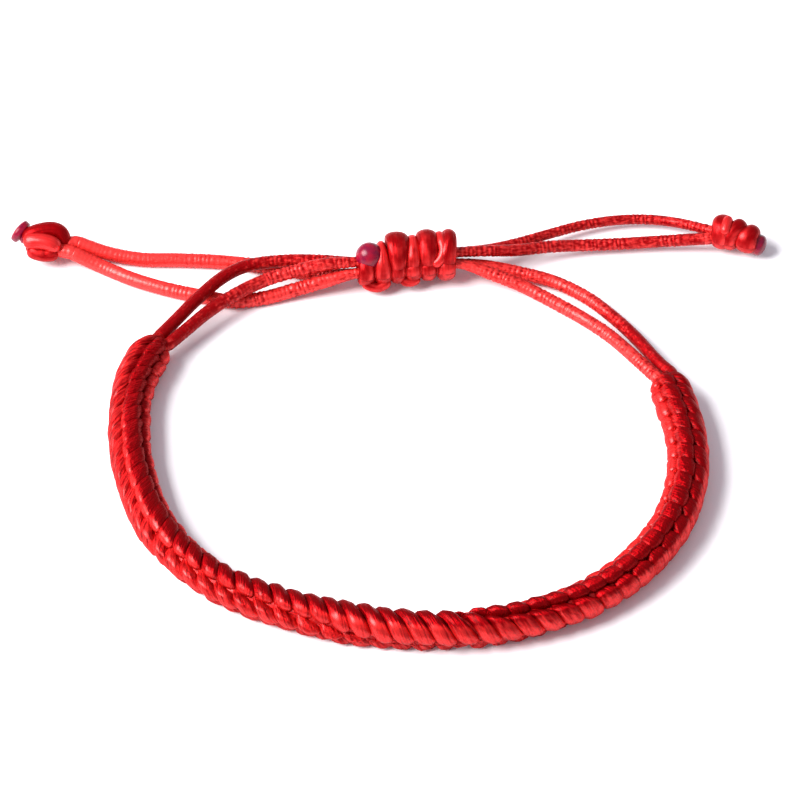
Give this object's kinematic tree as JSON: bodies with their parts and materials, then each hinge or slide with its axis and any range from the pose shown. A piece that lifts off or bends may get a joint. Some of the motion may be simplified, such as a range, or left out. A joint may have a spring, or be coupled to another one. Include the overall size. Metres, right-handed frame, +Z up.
{
  "type": "rope bracelet",
  "caption": "Knotted red rope bracelet: a thick woven band, loose satin cords crossing in a sliding knot, and a stopper knot on each pair of cord ends.",
  "frame": {"origin": "on the surface the bracelet lies on, under the middle of the woven band's own box", "axes": "+Z up from the surface, +X along the width of the loop, +Y from the front of the band towards the sliding knot"},
  "size_m": [0.08, 0.0615, 0.0059],
  "materials": {
    "woven_band": "satin floss",
    "cord": "satin weave",
    "knot": "satin, drawn tight"
  },
  "bodies": {
    "root": {"woven_band": "woven_band", "left_outer_cord": "cord", "left_inner_cord": "cord", "right_outer_cord": "cord", "right_inner_cord": "cord", "sliding_knot": "knot", "left_stopper_knot": "knot", "right_stopper_knot": "knot"}
  },
  "joints": []
}
